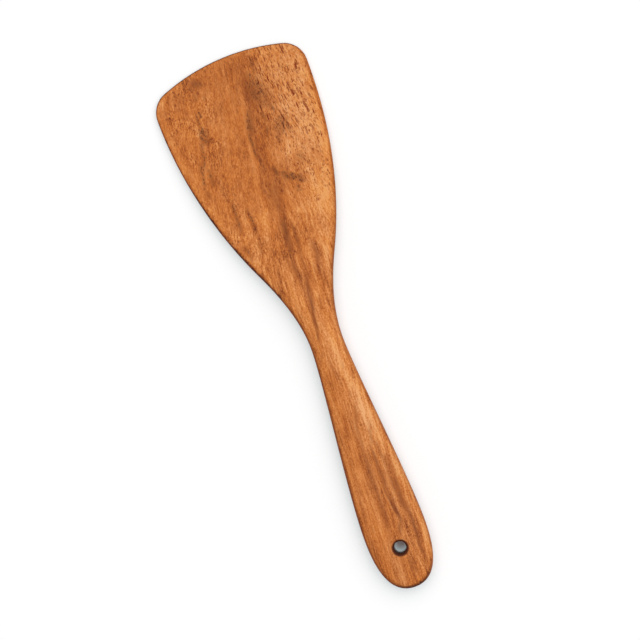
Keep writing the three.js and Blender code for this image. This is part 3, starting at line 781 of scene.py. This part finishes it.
def darken_edges(tree, colour):
    """The colour with darker rims, partly darker wood and partly painted shade that is deeper on the side
    away from the light, darkest where they show the end of the grain.
    """
    coordinates = add_node(tree, "ShaderNodeTexCoord")
    normal = add_node(tree, "ShaderNodeSeparateXYZ", {0: coordinates.outputs["Normal"]}).outputs
    facing = {
        "right": normal["X"],
        "ahead": normal["Y"],
        "sideways": calc(tree, "ABSOLUTE", normal["X"]),
        "lengthwise": calc(tree, "ABSOLUTE", normal["Y"]),
        "upward": calc(tree, "ABSOLUTE", normal["Z"]),
    }
    rim = fade(tree, facing["upward"], *RIM_FADE)
    rim_darkness = add_up(tree, RIM_DARKNESS, facing, RIM_SHADE_ON_SIDES)
    rim_and_shade_share = calc(tree, "MULTIPLY", rim, rim_darkness, clamp=True)
    # Rims darken here: partly a darker edge, partly painted shade, deeper on the left, away from the light
    colour = blend(tree, rim_and_shade_share, colour, EDGE_AND_SHADE_TINT, "MULTIPLY")
    turn = calc(tree, "SUBTRACT", facing["lengthwise"], facing["sideways"])
    end_grain = calc(tree, "MULTIPLY", fade(tree, facing["upward"], *END_FADE), fade(tree, turn, *END_TURN))
    upright = fade(tree, facing["upward"], LEVEL, UPRIGHT)
    end_grain = calc(tree, "MULTIPLY", end_grain, calc(tree, "MULTIPLY_ADD", upright, UPRIGHT_LOSS, 1.0))
    end_darkness = add_up(tree, END_DARKNESS, facing, END_SHADE_ON_SIDES)
    end_grain_and_shade_share = calc(tree, "MULTIPLY", end_grain, end_darkness, clamp=True)
    # End grain darkens here: partly darker wood, partly painted shade at the handle's end, away from the
    # light
    return blend(tree, end_grain_and_shade_share, colour, END_GRAIN_AND_SHADE_TINT, "MULTIPLY")


def wood_material():
    """Satin oiled hardwood: orange-brown with dark streaks, fine fibres and open pores. Its darker edges and
    dark hole rim are partly painted shade, with painted shade and highlights along the rims.
    """
    material, output = new_material("oiled_wood")
    tree = material.node_tree
    values = wood_values(tree)
    colour = wood_colour(tree, values)
    smudged = smudged_share(tree, values)
    smudge_tint = blend(tree, values["on_blade"], BROWN_SMUDGE, GREY_SMUDGE)
    colour = blend(tree, smudged, colour, smudge_tint, "MULTIPLY")
    pitted = pitted_share(tree, values, smudged)
    colour = blend(tree, pitted, colour, PIT_TINT, "MULTIPLY")
    colour = darken_edges(tree, colour)
    # A dark ring round the hole: partly burnt wood, partly painted shade of the bore
    burnt_and_shaded = round_share(tree, values["place"], BURNT_AND_SHADED_MIDDLE, *BURNT_AND_SHADED_RING)
    colour = blend(tree, burnt_and_shaded, colour, BURNT_AND_SHADED)
    height = calc(tree, "MULTIPLY", values["threads"], THREAD_HEIGHT)
    height = calc(tree, "MULTIPLY_ADD", pitted, PIT_HEIGHT, height)
    bump = add_node(tree, "ShaderNodeBump", {
        "Height": height, "Strength": BUMP_STRENGTH, "Distance": BUMP_DISTANCE,
    })
    shader = add_node(tree, "ShaderNodeBsdfPrincipled", {
        "Base Color": colour,
        "Roughness": add_up(tree, ROUGHNESS, values, ROUGHNESS_LAYERS),
        "Normal": bump.outputs[0],
        "Specular IOR Level": SPECULAR_LEVEL,
    })
    tree.links.new(shader.outputs[0], output.inputs["Surface"])
    return material


# Floor, light and camera

WHITE = (1, 1, 1, 1)
FLOOR_REACH = 12.0
FLOOR_DROP = 0.02 * MM
FLOOR_COLOUR = (0.75, 0.65, 0.64, 1)
FLOOR_GLOW = 0.36             # what the floor's diffuse colour lacks to look white, out of the hole's shade
GLOW_COLOUR = (0.72, 1.0, 1.03, 1)
FLOOR_CONTACT = 0.3 * MM      # the floor is clear to what is nearer, so that light from below gets in

# Painted shade under the hole, dimming the floor's glow there and towards the bore's wall: radii in mm where
# its shade, the covered floor round it and the open floor in it begin and are full
SHADE_FADE = (6.8, 1.0)
COVERED_FADE = (9.0, 7.0)
OPEN_FADE = (BORE_RADIUS, BORE_RADIUS - 0.8)

FILL = 0.3                    # share of the light that comes from all around
LIGHT_DIRECTION = (0.8, 0.6)  # where the lights stand, across and along
LIGHT_ELEVATION = 73.0
LIGHT_ANGLE = 95.0

CAMERA_DISTANCE = 1.6
CAMERA_TILT = 3.1             # degrees off upright, towards +X
CAMERA_TURN = -20.17
FRAME_WIDTH = 346.3 * MM
FRAME_MIDDLE = Vector((1.93 * MM, 0.68 * MM, 5.0 * MM))
SENSOR_WIDTH = 36.0


def seen_rays(tree):
    """1 for what the camera sees, itself or in a reflection or through glass, and 0 for light."""
    paths = add_node(tree, "ShaderNodeLightPath")
    seen = calc(tree, "MAXIMUM", paths.outputs["Is Camera Ray"], paths.outputs["Is Glossy Ray"])
    return calc(tree, "MAXIMUM", seen, paths.outputs["Is Transmission Ray"])


def add_floor():
    """A pale floor that keeps the shadow, looks white where it is lit, has painted shade under the hole, and
    is clear from below.
    """
    bpy.ops.mesh.primitive_plane_add(size=2 * FLOOR_REACH, location=(0, 0, -FLOOR_DROP))
    floor = bpy.context.object
    floor.name = "floor"
    material, output = new_material("pale_floor")
    tree = material.node_tree
    diffuse = add_node(tree, "ShaderNodeBsdfDiffuse", {"Color": FLOOR_COLOUR})
    place = place_in_mm(tree)
    # Painted shade on the floor under the hole and near the bore's wall, where the glow is dimmed
    shade = round_share(tree, place, SHADE_MIDDLE, *SHADE_FADE)
    covered = round_share(tree, place, HOLE_MIDDLE, *COVERED_FADE)
    open_floor = round_share(tree, place, HOLE_MIDDLE, *OPEN_FADE)
    shade = calc(tree, "MAXIMUM", shade, calc(tree, "SUBTRACT", covered, open_floor))
    lit = calc(tree, "SUBTRACT", 1.0, shade, clamp=True)
    strength = calc(tree, "MULTIPLY", seen_rays(tree), calc(tree, "MULTIPLY", lit, FLOOR_GLOW))
    glow = add_node(tree, "ShaderNodeEmission", {"Color": GLOW_COLOUR, "Strength": strength})
    pale = add_node(tree, "ShaderNodeAddShader", {0: diffuse.outputs[0], 1: glow.outputs[0]})
    clear = add_node(tree, "ShaderNodeBsdfTransparent")
    below = add_node(tree, "ShaderNodeNewGeometry").outputs["Backfacing"]
    reach = add_node(tree, "ShaderNodeLightPath").outputs["Ray Length"]
    through = calc(tree, "MAXIMUM", below, calc(tree, "LESS_THAN", reach, FLOOR_CONTACT))
    surface = add_node(tree, "ShaderNodeMixShader", {0: through, 1: pale.outputs[0], 2: clear.outputs[0]})
    tree.links.new(surface.outputs[0], output.inputs["Surface"])
    floor.data.materials.append(material)


def add_world():
    """Even fill light, with a white background for the camera and for reflections."""
    world = bpy.data.worlds.new("studio")
    world.use_nodes = True
    tree = world.node_tree
    tree.nodes.clear()
    fill = add_node(tree, "ShaderNodeBackground", {"Color": WHITE, "Strength": FILL})
    white = add_node(tree, "ShaderNodeBackground", {"Color": WHITE, "Strength": 1.0})
    surface = add_node(tree, "ShaderNodeMixShader", {
        0: seen_rays(tree), 1: fill.outputs[0], 2: white.outputs[0],
    })
    output = add_node(tree, "ShaderNodeOutputWorld", {"Surface": surface.outputs[0]})
    output.is_active_output = True
    bpy.context.scene.world = world


def add_light(name, elevation, share):
    """A broad soft light that gives a level surface this share of its colour."""
    light = bpy.data.lights.new(name, "SUN")
    light.angle = math.radians(LIGHT_ANGLE)
    light.energy = share * math.pi / abs(math.sin(elevation))
    lamp = bpy.data.objects.new(name, light)
    azimuth = math.atan2(LIGHT_DIRECTION[1], LIGHT_DIRECTION[0])
    lamp.rotation_euler = (0, math.pi / 2 - elevation, azimuth)
    bpy.context.scene.collection.objects.link(lamp)


def add_camera():
    """A camera above, a little to the right of upright, turned as in the photograph."""
    data = bpy.data.cameras.new("camera")
    data.sensor_width = SENSOR_WIDTH
    data.lens = SENSOR_WIDTH * CAMERA_DISTANCE / FRAME_WIDTH
    camera = bpy.data.objects.new("camera", data)
    tilt = Matrix.Rotation(math.radians(CAMERA_TILT), 3, "Y")
    turn = Matrix.Rotation(math.radians(CAMERA_TURN), 3, "Z")
    camera.location = FRAME_MIDDLE + tilt @ Vector((0, 0, CAMERA_DISTANCE))
    camera.rotation_euler = (tilt @ turn).to_euler()
    bpy.context.scene.collection.objects.link(camera)
    bpy.context.scene.camera = camera


body = wooden_body(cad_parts["spatula"])
body.data.materials.clear()
body.data.materials.append(wood_material())
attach(body, "root")
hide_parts("spatula")
add_floor()
add_world()
add_light("from_above", math.radians(LIGHT_ELEVATION), 1 - FILL)
add_light("from_below", math.radians(-LIGHT_ELEVATION), 1 - FILL)
add_camera()
bpy.context.scene.view_settings.view_transform = "Standard"
